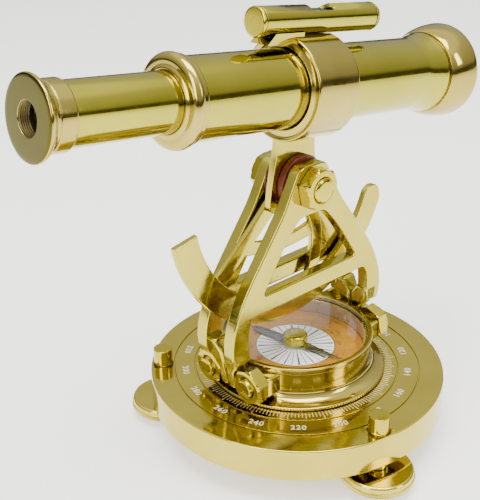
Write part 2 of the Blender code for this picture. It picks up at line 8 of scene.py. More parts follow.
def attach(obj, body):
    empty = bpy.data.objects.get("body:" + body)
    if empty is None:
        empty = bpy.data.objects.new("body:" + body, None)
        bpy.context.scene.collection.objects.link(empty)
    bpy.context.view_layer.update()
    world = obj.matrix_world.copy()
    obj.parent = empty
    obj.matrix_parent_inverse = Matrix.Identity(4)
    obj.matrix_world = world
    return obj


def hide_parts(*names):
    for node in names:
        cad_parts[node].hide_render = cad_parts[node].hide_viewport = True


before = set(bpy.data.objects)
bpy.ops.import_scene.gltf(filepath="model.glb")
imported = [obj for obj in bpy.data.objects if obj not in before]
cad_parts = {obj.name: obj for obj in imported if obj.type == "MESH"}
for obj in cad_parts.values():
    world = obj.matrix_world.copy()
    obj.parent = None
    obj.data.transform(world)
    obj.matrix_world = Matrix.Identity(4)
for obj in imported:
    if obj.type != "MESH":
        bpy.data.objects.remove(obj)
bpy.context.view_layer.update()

# Desk theodolite in polished brass. Lengths below are millimetres in the CAD row frame
# (origin under the middle of the base, Z up, X towards the objective, Y along the tilt axis).
MM = 0.001
BASE_TOP = 12.0
PIVOT_Z = 85.4
TILT = math.radians(6.43)
AXIS_UP = 34.04
AXIS_SHIFT = -3.84
LEVEL_UP = 22.4
SCREW_ANGLES = (137.7, 257.7, 377.7)
SCREW_PCR = 50.4
NEEDLE_ANGLE = -79.0

ROW = Matrix.Identity(4)
TILTED = Matrix.Translation(Vector((0.0, 0.0, PIVOT_Z)) * MM) @ Matrix.Rotation(TILT, 4, 'Y')
ALONG_X = Matrix.Rotation(math.radians(90.0), 4, 'Y')
ALONG_Y = Matrix.Rotation(math.radians(-90.0), 4, 'X')
SCOPE = TILTED @ Matrix.Translation(Vector((AXIS_SHIFT, 0.0, AXIS_UP)) * MM) @ ALONG_X
LEVEL = TILTED @ Matrix.Translation(Vector((AXIS_SHIFT, 0.0, AXIS_UP + LEVEL_UP)) * MM) @ ALONG_X
PLATE = Matrix.Rotation(math.radians(90.0), 4, 'X')


def at(x, y, z):
    return Matrix.Translation(Vector((x, y, z)) * MM)


# ------------------------------------------------------------------ materials
def node(tree, kind, **values):
    made = tree.nodes.new(kind)
    for key, value in values.items():
        setattr(made, key, value)
    return made


def new_tree(name, rough, metal):
    mat = bpy.data.materials.new(name)
    mat.use_nodes = True
    tree = mat.node_tree
    bsdf = tree.nodes["Principled BSDF"]
    bsdf.inputs["Roughness"].default_value = rough
    bsdf.inputs["Metallic"].default_value = metal
    return mat, tree, bsdf


def noise(tree, vector, scale, detail=3.0, rough=0.55):
    made = node(tree, "ShaderNodeTexNoise")
    made.inputs["Scale"].default_value = scale
    made.inputs["Detail"].default_value = detail
    made.inputs["Roughness"].default_value = rough
    tree.links.new(vector, made.inputs["Vector"])
    return made.outputs["Fac"]


def ramp(tree, fac, stops, easing='LINEAR'):
    made = node(tree, "ShaderNodeValToRGB")
    made.color_ramp.interpolation = easing
    points = made.color_ramp.elements
    while len(points) < len(stops):
        points.new(0.5)
    for point, (place, colour) in zip(points, stops):
        point.position = place
        point.color = (*colour, 1.0)
    tree.links.new(fac, made.inputs["Fac"])
    return made.outputs["Color"]


def spread(tree, fac, low, high, start=0.3, stop=0.7):
    made = node(tree, "ShaderNodeMapRange")
    made.inputs["From Min"].default_value = start
    made.inputs["From Max"].default_value = stop
    made.inputs["To Min"].default_value = low
    made.inputs["To Max"].default_value = high
    tree.links.new(fac, made.inputs["Value"])
    return made.outputs["Result"]


def ring_coords(tree):
    """Coordinates that only change across the tool marks of a turned piece: distance from
    the local Z axis, and height along it."""
    coord = node(tree, "ShaderNodeTexCoord")
    split = node(tree, "ShaderNodeSeparateXYZ")
    tree.links.new(coord.outputs["Object"], split.inputs["Vector"])
    flat = node(tree, "ShaderNodeCombineXYZ")
    tree.links.new(split.outputs["X"], flat.inputs["X"])
    tree.links.new(split.outputs["Y"], flat.inputs["Y"])
    reach = node(tree, "ShaderNodeVectorMath", operation='LENGTH')
    tree.links.new(flat.outputs["Vector"], reach.inputs[0])
    both = node(tree, "ShaderNodeCombineXYZ")
    tree.links.new(reach.outputs["Value"], both.inputs["X"])
    tree.links.new(split.outputs["Z"], both.inputs["Y"])
    return coord.outputs["Object"], both.outputs["Vector"]


def stretched(tree, vector, scale):
    made = node(tree, "ShaderNodeMapping")
    made.inputs["Scale"].default_value = scale
    tree.links.new(vector, made.inputs["Vector"])
    return made.outputs["Vector"]


def brass(name, bright, deep, rough=0.10, turned=True, lines=0.05, waves=0.05, scratch=0.25):
    """Polished brass: slow colour drift, tool marks or polishing scratches in bump and in
    roughness, and a faint waviness from buffing."""
    mat, tree, bsdf = new_tree(name, rough, 1.0)
    place, marks = ring_coords(tree)
    if not turned:
        marks = stretched(tree, place, (1.0, 1.0, 0.08))
    cloud = noise(tree, place, 38.0, 4.0)
    tint = ramp(tree, cloud, [(0.30, deep), (0.72, bright)])
    tree.links.new(tint, bsdf.inputs["Base Color"])
    fine = noise(tree, marks, 2600.0 if turned else 1500.0, 2.0, 0.6)
    smear = noise(tree, place, 140.0, 5.0, 0.65)
    both = node(tree, "ShaderNodeMath", operation='MULTIPLY')
    tree.links.new(fine, both.inputs[0])
    tree.links.new(smear, both.inputs[1])
    dull = spread(tree, both.outputs["Value"], rough * 0.55, rough * 1.9, 0.10, 0.42)
    tree.links.new(dull, bsdf.inputs["Roughness"])
    low_bump = node(tree, "ShaderNodeBump")
    low_bump.inputs["Strength"].default_value = waves
    low_bump.inputs["Distance"].default_value = 0.0012
    tree.links.new(noise(tree, place, 75.0, 1.0), low_bump.inputs["Height"])
    fine_bump = node(tree, "ShaderNodeBump")
    fine_bump.inputs["Strength"].default_value = lines
    fine_bump.inputs["Distance"].default_value = 0.0001
    tree.links.new(fine, fine_bump.inputs["Height"])
    tree.links.new(low_bump.outputs["Normal"], fine_bump.inputs["Normal"])
    tree.links.new(fine_bump.outputs["Normal"], bsdf.inputs["Normal"])
    bsdf.inputs["Anisotropic"].default_value = scratch
    return mat


def matt(name, light, dark, rough, scale, bump=0.2, metal=0.0, grain=900.0):
    """Dull material with mottled colour and a fine grain."""
    mat, tree, bsdf = new_tree(name, rough, metal)
    place, _ = ring_coords(tree)
    tint = ramp(tree, noise(tree, place, scale, 5.0, 0.6), [(0.32, dark), (0.68, light)])
    tree.links.new(tint, bsdf.inputs["Base Color"])
    tree.links.new(spread(tree, noise(tree, place, scale * 2.3), rough * 0.8, min(1.0, rough * 1.2)),
                   bsdf.inputs["Roughness"])
    lift = node(tree, "ShaderNodeBump")
    lift.inputs["Strength"].default_value = bump
    lift.inputs["Distance"].default_value = 0.0001
    tree.links.new(noise(tree, place, grain, 4.0), lift.inputs["Height"])
    tree.links.new(lift.outputs["Normal"], bsdf.inputs["Normal"])
    return mat


def glass(name, tint, ior, haze):
    """Clear glass whose shadow lets light through, with a faint film of polish marks."""
    mat, tree, bsdf = new_tree(name, haze, 0.0)
    place, _ = ring_coords(tree)
    film = noise(tree, place, 160.0, 3.0)
    tree.links.new(spread(tree, film, 0.0, haze * 2.0), bsdf.inputs["Roughness"])
    bsdf.inputs["Base Color"].default_value = (*tint, 1.0)
    bsdf.inputs["Transmission Weight"].default_value = 1.0
    bsdf.inputs["IOR"].default_value = ior
    clear = node(tree, "ShaderNodeBsdfTransparent")
    clear.inputs["Color"].default_value = (*tint, 1.0)
    path = node(tree, "ShaderNodeLightPath")
    mix = node(tree, "ShaderNodeMixShader")
    tree.links.new(path.outputs["Is Shadow Ray"], mix.inputs["Fac"])
    tree.links.new(bsdf.outputs["BSDF"], mix.inputs[1])
    tree.links.new(clear.outputs["BSDF"], mix.inputs[2])
    tree.links.new(mix.outputs["Shader"], tree.nodes["Material Output"].inputs["Surface"])
    return mat


DRAWN = brass("drawn_brass_tube", (0.50, 0.445, 0.055), (0.42, 0.37, 0.038), 0.085, True, 0.05, 0.02)
BASE_BRASS = brass("turned_brass_disc", (0.60, 0.495, 0.085), (0.51, 0.41, 0.055), 0.10, True, 0.07, 0.02)
CAST = brass("cast_brass_turned", (0.52, 0.415, 0.10), (0.42, 0.325, 0.062), 0.10, True, 0.06, 0.06)
PLATED = brass("cast_brass_filed", (0.57, 0.485, 0.08), (0.47, 0.39, 0.048), 0.12, False, 0.08, 0.12)
SMALL = brass("bar_brass_small", (0.56, 0.46, 0.05), (0.47, 0.375, 0.032), 0.10, True, 0.08, 0.05)
# near-black brass for the flat end face of the eyepiece cup
DARK_END_FACE = brass("cast_brass_dark_end_face", (0.112, 0.094, 0.010), (0.082, 0.068, 0.006), 0.17, True, 0.10, 0.05)
DARK_BRASS = brass("aged_brass_thread", (0.15, 0.115, 0.045), (0.065, 0.048, 0.018), 0.32, True, 0.10, 0.05)
# painted highlight: the stamped figures get a near-white brass colour for the light they catch
FIGURE_GLINT = matt("stamped_figure_painted_highlight", (0.96, 0.93, 0.78), (0.82, 0.76, 0.55), 0.45, 900.0, 0.3, 0.6)
# painted highlight: the engraved ticks get a pale brass colour that stands in for the light their cuts catch
TICK_GLINT = matt("engraved_tick_painted_highlight", (0.93, 0.83, 0.46), (0.78, 0.66, 0.30), 0.38, 900.0, 0.3, 0.8)
FIBRE = matt("maroon_fibre", (0.16, 0.018, 0.006), (0.08, 0.008, 0.004), 0.42, 420.0, 0.5)
WHITE = matt("dial_white_enamel", (0.88, 0.88, 0.90), (0.78, 0.78, 0.80), 0.35, 260.0, 0.1)
# amber print of the dial ring, its colour darkened as painted shade for the shadow inside the bowl
AMBER_AND_SHADE = matt("dial_amber_print_and_painted_shade", (0.44, 0.195, 0.006), (0.33, 0.135, 0.004), 0.42, 240.0, 0.1)
INK = matt("dial_black_ink", (0.045, 0.040, 0.038), (0.015, 0.013, 0.012), 0.5, 500.0, 0.1)
BROWN = matt("dial_brown_ink", (0.30, 0.10, 0.03), (0.16, 0.05, 0.015), 0.5, 500.0, 0.1)
STEEL = matt("blued_needle_steel", (0.20, 0.19, 0.17), (0.09, 0.085, 0.08), 0.28, 300.0, 0.2, 1.0)
# painted reflection: a pinkish tint that stands in for the dial reflected in the bowl's inner wall
WALL_REFLECTION_TINT = matt("bowl_wall_painted_reflection", (0.62, 0.50, 0.42), (0.50, 0.39, 0.32), 0.30, 120.0, 0.1, 0.75)
BLACKED = matt("blackened_tube_inside", (0.045, 0.042, 0.036), (0.015, 0.014, 0.012), 0.6, 400.0, 0.4)
CLEAR = glass("window_glass", (0.985, 0.995, 0.985), 1.45, 0.012)
LENS = glass("lens_glass", (0.93, 0.97, 0.96), 1.52, 0.006)
SPIRIT = glass("vial_spirit", (0.74, 0.86, 0.48), 1.36, 0.02)


# ------------------------------------------------------------------- geometry
def corner(before, here, after, size, steps):
    """Points of a curve that rounds one corner, at most half a side from it."""
    back = Vector(before) - Vector(here)
    ahead = Vector(after) - Vector(here)
    start = Vector(here) + back.normalized() * min(size, back.length * 0.5)
    stop = Vector(here) + ahead.normalized() * min(size, ahead.length * 0.5)
    points = []
    for i in range(steps + 1):
        t = i / steps
        mix = start * (1 - t) ** 2 + Vector(here) * 2 * t * (1 - t) + stop * t * t
        points.append((mix.x, mix.y))
    return points


def rounded(points, closed, fillet=0.25):
    """A section with every corner rounded. A point may carry its own size."""
    out = []
    count = len(points)
    for i, point in enumerate(points):
        size = point[2] if len(point) > 2 else fillet
        here = point[:2]
        if (not closed and i in (0, count - 1)) or size <= 0.0:
            out.append(here)
            continue
        before = points[i - 1][:2]
        after = points[(i + 1) % count][:2]
        out += corner(before, here, after, size, 6 if size > 1.0 else 3)
    clean = []
    for point in out:
        if not clean or (Vector(point) - Vector(clean[-1])).length > 1e-4:
            clean.append(point)
    if closed and (Vector(clean[0]) - Vector(clean[-1])).length < 1e-4:
        clean.pop()
    return clean


def to_object(name, bm, mat, place, body, replaces=(), angle=34.0, weighted=True):
    bmesh.ops.recalc_face_normals(bm, faces=bm.faces)
    mesh = bpy.data.meshes.new(name)
    bm.to_mesh(mesh)
    bm.free()
    return dress(name, mesh, mat, place, body, replaces, angle, weighted)


def dress(name, mesh, mat, place, body, replaces=(), angle=34.0, weighted=True):
    obj = bpy.data.objects.new(name, mesh)
    bpy.context.scene.collection.objects.link(obj)
    mesh.materials.clear()
    mesh.materials.append(mat)
    obj.matrix_world = place
    mesh.shade_smooth()
    mesh.set_sharp_from_angle(angle=math.radians(angle))
    if weighted:
        soft = obj.modifiers.new("even_normals", 'WEIGHTED_NORMAL')
        soft.keep_sharp = True
        soft.weight = 80
    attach(obj, body)
    for cad in replaces:
        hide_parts(cad)
    return obj


def lathe(name, points, mat, place, body, replaces=(), segs=160, fillet=0.25, rim=None, turn=0.0):
    """Turned piece. rim(radius, height, angle) may move a point in or out."""
    closed = points[0][0] > 1e-6
    section = rounded(points, closed, fillet)
    bm = bmesh.new()
    rings = []
    for radius, height in section:
        if radius < 1e-6:
            rings.append([bm.verts.new((0.0, 0.0, height * MM))])
            continue
        ring = []
        for i in range(segs):
            a = 2.0 * math.pi * i / segs + turn
            reach = rim(radius, height, a) if rim else radius
            ring.append(bm.verts.new((reach * math.cos(a) * MM, reach * math.sin(a) * MM, height * MM)))
        rings.append(ring)
    count = len(rings)
    for k in range(count if closed else count - 1):
        low = rings[k]
        high = rings[(k + 1) % count]
        for i in range(segs):
            j = (i + 1) % segs
            if len(low) == 1:
                bm.faces.new((low[0], high[i], high[j]))
            elif len(high) == 1:
                bm.faces.new((low[i], high[0], low[j]))
            else:
                bm.faces.new((low[i], high[i], high[j], low[j]))
    return to_object(name, bm, mat, place, body, replaces)


def plate_mesh(name, outlines, thick, bevel):
    """Flat plate from an outline and its holes, with rounded edges, as a mesh centred on
    its middle plane. The first outline is the outside."""
    curve = bpy.data.curves.new(name, 'CURVE')
    curve.dimensions = '2D'
    curve.fill_mode = 'BOTH'
    for number, outline in enumerate(outlines):
        area = 0.0
        for i, (x0, y0) in enumerate(outline):
            x1, y1 = outline[(i + 1) % len(outline)]
            area += x0 * y1 - x1 * y0
        points = list(outline) if (area > 0.0) == (number == 0) else list(reversed(outline))
        spline = curve.splines.new('POLY')
        spline.points.add(len(points) - 1)
        for slot, (x, y) in zip(spline.points, points):
            slot.co = (x * MM, y * MM, 0.0, 1.0)
        spline.use_cyclic_u = True
    curve.extrude = (thick / 2.0 - bevel) * MM
    curve.bevel_depth = bevel * MM
    curve.bevel_resolution = 2
    curve.offset = -bevel * MM
    source = bpy.data.objects.new(name + "_curve", curve)
    bpy.context.scene.collection.objects.link(source)
    graph = bpy.context.evaluated_depsgraph_get()
    mesh = bpy.data.meshes.new_from_object(source.evaluated_get(graph))
    bpy.data.objects.remove(source, do_unlink=True)
    bm = bmesh.new()
    bm.from_mesh(mesh)
    bmesh.ops.remove_doubles(bm, verts=bm.verts, dist=2e-6)
    bmesh.ops.recalc_face_normals(bm, faces=bm.faces)
    bm.to_mesh(mesh)
    bm.free()
    return mesh


def ring_points(x, z, radius, start, end, steps):
    points = []
    for i in range(steps + 1):
        a = math.radians(start + (end - start) * i / steps)
        points.append((x + radius * math.cos(a), z + radius * math.sin(a)))
    return points


def circle(x, z, radius, steps=48):
    return ring_points(x, z, radius, 0.0, 360.0, steps)[:-1]


def block(bm, low, high):
    """Box between two corners."""
    made = bmesh.ops.create_cube(bm, size=1.0)["verts"]
    low = Vector(low)
    high = Vector(high)
    size = (high - low) * MM
    mid = (high + low) * 0.5 * MM
    for vert in made:
        vert.co = Vector((vert.co.x * size.x, vert.co.y * size.y, vert.co.z * size.z)) + mid


def hexagon(name, corner_r, bore_r, low, high, mat, place, body, replaces=(), turn=0.0):
    """Nut with domed, turned-down corners and a countersunk bore."""
    bm = bmesh.new()
    segs = 120
    flat = corner_r * math.cos(math.pi / 6.0)
    rows = []
    for height, limit in ((low, flat + 0.35), (low + 0.35, corner_r), (high - 1.0, corner_r),
                          (high - 0.55, (corner_r + flat) / 2 + 0.1), (high - 0.1, flat - 0.05),
                          (high, flat - 0.3)):
        ring = []
        for i in range(segs):
            a = 2.0 * math.pi * i / segs
            step = (a + math.pi / 6.0) % (math.pi / 3.0) - math.pi / 6.0
            reach = min(flat / math.cos(step), limit)
            b = a + math.radians(turn)
            ring.append(bm.verts.new((reach * math.cos(b) * MM, reach * math.sin(b) * MM, height * MM)))
        rows.append(ring)
    for height, reach in ((high, bore_r + 0.5), (high - 0.5, bore_r), (low, bore_r)):
        ring = []
        for i in range(segs):
            b = 2.0 * math.pi * i / segs + math.radians(turn)
            ring.append(bm.verts.new((reach * math.cos(b) * MM, reach * math.sin(b) * MM, height * MM)))
        rows.append(ring)
    for k in range(len(rows)):
        for i in range(segs):
            j = (i + 1) % segs
            bm.faces.new((rows[k][i], rows[(k + 1) % len(rows)][i], rows[(k + 1) % len(rows)][j], rows[k][j]))
    return to_object(name, bm, mat, place, body, replaces, 24.0)


def threaded(radius, low, high, pitch, depth):
    """Section of a threaded rod between two heights."""
    points = []
    turns = int((high - low) / pitch)
    for i in range(turns):
        base = low + i * pitch
        points += [(radius - depth, base, 0.0), (radius, base + pitch * 0.5, 0.0)]
    points.append((radius - depth, high, 0.0))
    return points


# ----------------------------------------------------------------- base disc
base_section = [
    (4.56, 5.5), (13.0, 5.5), (13.0, 0.0), (55.0, 0.0, 0.9), (55.0, BASE_TOP, 0.55),
    (46.45, BASE_TOP, 0.06), (46.35, 11.4, 0.05), (45.85, 11.4, 0.05), (45.75, BASE_TOP, 0.06),
    (38.55, BASE_TOP, 0.06), (38.45, 11.4, 0.05), (37.95, 11.4, 0.05), (37.85, BASE_TOP, 0.06),
    (4.56, BASE_TOP),
]
disc = lathe("disc", base_section, BASE_BRASS, ROW, "base", ["base_plate"], 288)
for number, angle in enumerate(SCREW_ANGLES, 1):
    a = math.radians(angle)
    hole = lathe("hole_%d" % number, [(0.0, -2.0), (3.75, -2.0), (3.75, 14.0), (0.0, 14.0)], BASE_BRASS,
                 at(SCREW_PCR * math.cos(a), SCREW_PCR * math.sin(a), 0.0), "base", (), 64, 0.0)
    hole.hide_render = True
    cut = disc.modifiers.new("hole_%d" % number, 'BOOLEAN')
    cut.operation = 'DIFFERENCE'
    cut.solver = 'EXACT'
    cut.object = hole
lathe("base_cover_plate", [(0.0, 0.0), (12.7, 0.0, 0.2), (12.7, 0.8, 0.2), (0.0, 0.8)], BASE_BRASS, ROW,
      "base", ["base_cover"], 96)

# one tick every two degrees on the disc, longer every ten and twenty, in a pale brass that paints in the
# glint of the engraved lines
bm = bmesh.new()
for degree in range(0, 360, 2):
    a = math.radians(degree)
    outer = 37.4 if degree % 20 == 0 else (36.9 if degree % 10 == 0 else 36.2)
    wide = 0.17
    across = Vector((-math.sin(a), math.cos(a), 0.0)) * wide * MM
    along = Vector((math.cos(a), math.sin(a), 0.0)) * MM
    low = Vector((0.0, 0.0, (BASE_TOP - 0.05) * MM))
    high = Vector((0.0, 0.0, (BASE_TOP + 0.04) * MM))
    ring = [along * 33.7 - across, along * outer - across * 1.25, along * outer + across * 1.25,
            along * 33.7 + across]
    bottom = [bm.verts.new(p + low) for p in ring]
    top = [bm.verts.new(p + high) for p in ring]
    bm.faces.new(top)
    bm.faces.new(list(reversed(bottom)))
    for i in range(4):
        j = (i + 1) % 4
        bm.faces.new((bottom[i], bottom[j], top[j], top[i]))
to_object("degree_ticks", bm, TICK_GLINT, ROW, "base", (), 34.0, False)


def numeral(name, text, size, place, mat, body, depth=0.06):
    """Stamped figures as thin solid letters centred on their own place."""
    curve = bpy.data.curves.new(name, 'FONT')
    curve.body = text
    curve.size = size * MM
    curve.align_x = 'CENTER'
    curve.align_y = 'CENTER'
    curve.extrude = depth / 2 * MM
    curve.space_character = 1.15
    curve.offset = 0.05 * MM
    source = bpy.data.objects.new(name + "_text", curve)
    bpy.context.scene.collection.objects.link(source)
    graph = bpy.context.evaluated_depsgraph_get()
    mesh = bpy.data.meshes.new_from_object(source.evaluated_get(graph))
    bpy.data.objects.remove(source, do_unlink=True)
    return dress(name, mesh, mat, place, body, (), 34.0, False)


# figures every twenty degrees between the two grooves, their tops towards the middle, coloured near-white as
# a painted highlight
for value in range(0, 360, 20):
    theta = math.radians(85.5 - value)
    place = at(42.0 * math.cos(theta), 42.0 * math.sin(theta), BASE_TOP + 0.01)
    place = place @ Matrix.Rotation(theta + math.radians(90.0), 4, 'Z')
    numeral("figure_%03d" % value, str(value), 3.3, place, FIGURE_GLINT, "base")

# -------------------------------------------------- levelling screws and feet
for number, angle in enumerate(SCREW_ANGLES, 1):
    a = math.radians(angle)
    place = at(SCREW_PCR * math.cos(a), SCREW_PCR * math.sin(a), 0.0)
    turns = threaded(3.6, -1.4, 1.6, 0.75, 0.35)
    shank = [(0.0, -2.0), (3.25, -2.0, 0.0)] + turns + [(3.6, 1.9, 0.1), (3.6, 18.3, 0.3), (0.0, 18.3)]
    lathe("screw_pin_%d" % number, shank, SMALL, place, "levelling_%d" % number,
          ["levelling_screw_%d" % number], 64, 0.1)

    def knurl(radius, height, angle):
        if radius > 12.7 and height < -4.6:
            return radius - 0.42 * (0.5 + 0.5 * math.cos(angle * 90.0))
        return radius

    knob = [(0.0, -6.6), (11.0, -6.6, 0.2), (12.8, -6.1, 0.2), (13.0, -5.7, 0.1), (13.0, -4.7, 0.1),
            (12.5, -4.35, 0.1),
            (12.5, -2.8, 0.3), (11.9, -2.3, 0.3), (0.0, -2.3)]
    lathe("knob_%d" % number, knob, BASE_BRASS, place, "levelling_%d" % number,
          ["levelling_knob_%d" % number], 720, 0.1, knurl)
    tip = [(0.0, -9.6), (2.6, -9.6, 0.3), (6.4, -7.3, 0.2), (6.0, -6.9, 0.1), (0.0, -6.9)]
    lathe("foot_%d_pad" % number, tip, SMALL, place, "foot_%d" % number, ["foot_tip_%d" % number], 96)

# ------------------------------------------------------------- compass bowl
bowl_section = [
    (4.8, 12.3), (33.0, 12.3, 0.2), (33.3, 12.5, 0.1), (33.3, 13.1, 0.15), (33.0, 13.35, 0.2),
    (31.6, 13.6, 1.2), (29.9, 14.2, 1.2), (28.8, 15.0, 1.2), (28.0, 16.3, 1.2), (28.0, 23.9), (26.0, 23.9),
    (26.0, 17.65, 0.1), (24.0, 17.65, 0.1), (24.0, 13.9, 0.1), (4.8, 13.9),
]


def flange_mill(radius, height, angle):
    if radius > 33.05 and height < 13.2:
        return radius - 0.10 * (0.5 + 0.5 * math.cos(angle * 180.0))
    return radius


lathe("bowl", bowl_section, CAST, ROW, "alidade", ["compass_bowl"], 1080, 0.2, flange_mill)
# thin sheet just inside the bowl wall that carries the painted reflection of the dial
lathe("bowl_wall_reflection_sheet", [(25.95, 18.45), (25.95, 23.8), (25.85, 23.8), (25.85, 18.45)], WALL_REFLECTION_TINT, ROW,
      "alidade", (), 128, 0.05)
bezel_section = [
    (26.9, 24.2), (28.4, 24.2, 0.2), (28.7, 24.5, 0.2), (28.7, 26.3, 0.5), (27.1, 26.3, 0.2),
    (26.9, 26.1, 0.1),
    (26.9, 25.8, 0.1), (27.6, 25.8, 0.1), (27.6, 24.35, 0.1), (26.9, 24.35),
]
lathe("bezel", bezel_section, CAST, ROW, "alidade", ["bezel_ring"], 256, 0.15)
lathe("window", [(0.0, 24.4), (27.3, 24.4, 0.1), (27.3, 25.6, 0.1), (0.0, 25.6)], CLEAR, ROW, "alidade",
      ["compass_glass"], 160, 0.1)
for name in ("centre_spindle", "spindle_washer", "spindle_nut", "needle_pivot"):
    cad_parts[name].data.materials[0] = SMALL if name != "spindle_washer" else DARK_BRASS

# index screw on the flange
lathe("index_screw", [(0.0, 13.2), (1.15, 13.2, 0.1), (1.15, 13.75, 0.25), (0.0, 13.85)], SMALL,
      at(-3.1, -31.2, 0.0), "alidade", (), 48, 0.1)

# ---------------------------------------------------------------- dial card
DIAL_TOP = 18.4
# the dial card carries the amber print together with the painted shade
lathe("dial_card", [(1.9, 17.8), (25.7, 17.8), (25.7, DIAL_TOP), (1.9, DIAL_TOP)], AMBER_AND_SHADE, ROW, "alidade",
      ["compass_dial"], 128, 0.1)
lathe("dial_disc", [(2.0, DIAL_TOP - 0.1), (14.6, DIAL_TOP - 0.1), (14.6, DIAL_TOP + 0.05),
                    (2.0, DIAL_TOP + 0.05)],
      WHITE, ROW, "alidade", (), 128, 0.02)
for name, radius, width in (("dial_line_inner", 14.7, 0.22), ("dial_line_mid", 18.6, 0.14),
                            ("dial_line_outer", 24.2, 0.22)):
    lathe(name, [(radius, DIAL_TOP - 0.05), (radius + width, DIAL_TOP - 0.05),
                 (radius + width, DIAL_TOP + 0.07),
                 (radius, DIAL_TOP + 0.07)], BROWN if radius > 15.0 else INK, ROW, "alidade", (), 128, 0.0)


def wedge(bm, angle, inner, outer, wide_in, wide_out, low, high):
    """Thin radial bar that may taper."""
    a = math.radians(angle)
    along = Vector((math.cos(a), math.sin(a), 0.0)) * MM
    across = Vector((-math.sin(a), math.cos(a), 0.0)) * MM
    flat = [along * inner - across * wide_in, along * outer - across * wide_out,
            along * outer + across * wide_out, along * inner + across * wide_in]
    down = Vector((0.0, 0.0, low * MM))
    up = Vector((0.0, 0.0, high * MM))
    bottom = [bm.verts.new(p + down) for p in flat]
    top = [bm.verts.new(p + up) for p in flat]
    bm.faces.new(top)
    bm.faces.new(list(reversed(bottom)))
    for i in range(4):
        j = (i + 1) % 4
        bm.faces.new((bottom[i], bottom[j], top[j], top[i]))


bm = bmesh.new()
for ray in range(32):
    main = ray % 4 == 0
    half = ray % 2 == 0
    wedge(bm, ray * 11.25 + 5.0, 4.2 if main else 5.5, 14.2, 0.10, 0.42 if main else (0.26 if half else 0.13),
          DIAL_TOP + 0.02, DIAL_TOP + 0.11)
to_object("dial_rays", bm, INK, ROW, "alidade", (), 34.0, False)
bm = bmesh.new()
for tick in range(180):
    wedge(bm, tick * 2.0, 22.9 if tick % 5 else 21.9, 24.0, 0.07, 0.09, DIAL_TOP - 0.02, DIAL_TOP + 0.09)
to_object("dial_ticks", bm, BROWN, ROW, "alidade", (), 34.0, False)
for number in range(12):
    theta = math.radians(number * 30.0 + 20.0)
    place = at(16.7 * math.cos(theta), 16.7 * math.sin(theta), DIAL_TOP + 0.04)
    numeral("dial_figure_%02d" % number, str((450 - number * 30) % 360), 1.75,
            place @ Matrix.Rotation(theta - math.radians(90.0), 4, 'Z'), BROWN, "alidade", 0.08)
for number, letter in enumerate("NESW"):
    theta = math.radians(95.0 - 90.0 * number)
    place = at(20.4 * math.cos(theta), 20.4 * math.sin(theta), DIAL_TOP + 0.04)
    numeral("dial_point_" + letter, letter, 3.2, place @ Matrix.Rotation(theta - math.radians(90.0), 4, 'Z'),
            BROWN, "alidade", 0.08)

# ------------------------------------------------------------------- needle
SWING = at(0.0, 0.0, 18.9) @ Matrix.Rotation(math.radians(NEEDLE_ANGLE), 4, 'Z')
needle_outline = [(20.6, 0.0), (3.4, 2.3), (-17.0, 1.9), (-20.6, 0.0), (-17.0, -1.9), (3.4, -2.3)]
bm = bmesh.new()
low_ring = [bm.verts.new((x * MM, y * MM, 0.4 * MM)) for x, y in needle_outline]
high_ring = [bm.verts.new((x * MM, y * MM, 0.65 * MM)) for x, y in needle_outline]
ridge = [bm.verts.new((x * MM, 0.0, 0.9 * MM)) for x in (15.0, -15.0)]
bm.faces.new(list(reversed(low_ring)))
for i in range(6):
    j = (i + 1) % 6
    bm.faces.new((low_ring[i], low_ring[j], high_ring[j], high_ring[i]))
bm.faces.new((high_ring[0], high_ring[1], ridge[0]))
bm.faces.new((high_ring[5], high_ring[0], ridge[0]))
bm.faces.new((high_ring[1], high_ring[2], ridge[1], ridge[0]))
bm.faces.new((high_ring[4], high_ring[5], ridge[0], ridge[1]))
bm.faces.new((high_ring[2], high_ring[3], ridge[1]))
bm.faces.new((high_ring[3], high_ring[4], ridge[1]))
to_object("needle_blade", bm, STEEL, SWING, "needle", ["compass_needle"], 8.0, False)
lathe("needle_hub", [(0.0, 1.1), (4.6, 1.1, 0.2), (4.6, 3.9, 0.3), (3.9, 4.5, 0.2), (2.2, 4.6, 0.2),
                     (2.0, 4.2, 0.1),
                     (0.0, 4.15)], SMALL, SWING, "needle", ["needle_cap"], 64)

# ----------------------------------------------------------------- A-frames
right_side = [
    (14.2, 79.0, 3.0), (19.4, 72.0, 6.0), (28.8, 59.4, 6.0), (33.0, 53.4, 6.0), (36.2, 47.0, 6.0),
    (38.4, 41.0, 6.0), (39.2, 35.5, 6.0), (38.8, 31.0, 2.0), (37.6, 28.4, 0.4), (31.0, 28.4, 0.4),
    (31.0, 40.6, 4.0), (29.0, 44.8, 4.0), (24.0, 44.7, 2.0),
]
outline = rounded(right_side + [(0.0, 44.6, 0.0)] + [(-p[0],) + p[1:] for p in reversed(right_side)]
                  + [(-8.9, PIVOT_Z + 3.5, 4.0), (-6.4, PIVOT_Z + 8.4, 3.5), (6.4, PIVOT_Z + 8.4, 3.5),
                     (8.9, PIVOT_Z + 3.5, 4.0)], True)
opening = rounded([(-23.9, 51.5, 1.6), (23.9, 51.5, 1.6), (12.4, 68.6, 5.0), (6.0, 75.2, 3.0),
                   (-6.0, 75.2, 3.0),
                   (-12.4, 68.6, 5.0)], True)


def cut_with(obj, other, operation='DIFFERENCE'):
    other.hide_render = True
    mod = obj.modifiers.new(operation.lower() + "_" + other.name, 'BOOLEAN')
    mod.operation = operation
    mod.solver = 'EXACT'
    mod.object = other


def soften(obj, size):
    edge = obj.modifiers.new("edge", 'BEVEL')
    edge.width = size * MM
    edge.segments = 4
    edge.limit_method = 'ANGLE'
    edge.angle_limit = math.radians(40.0)


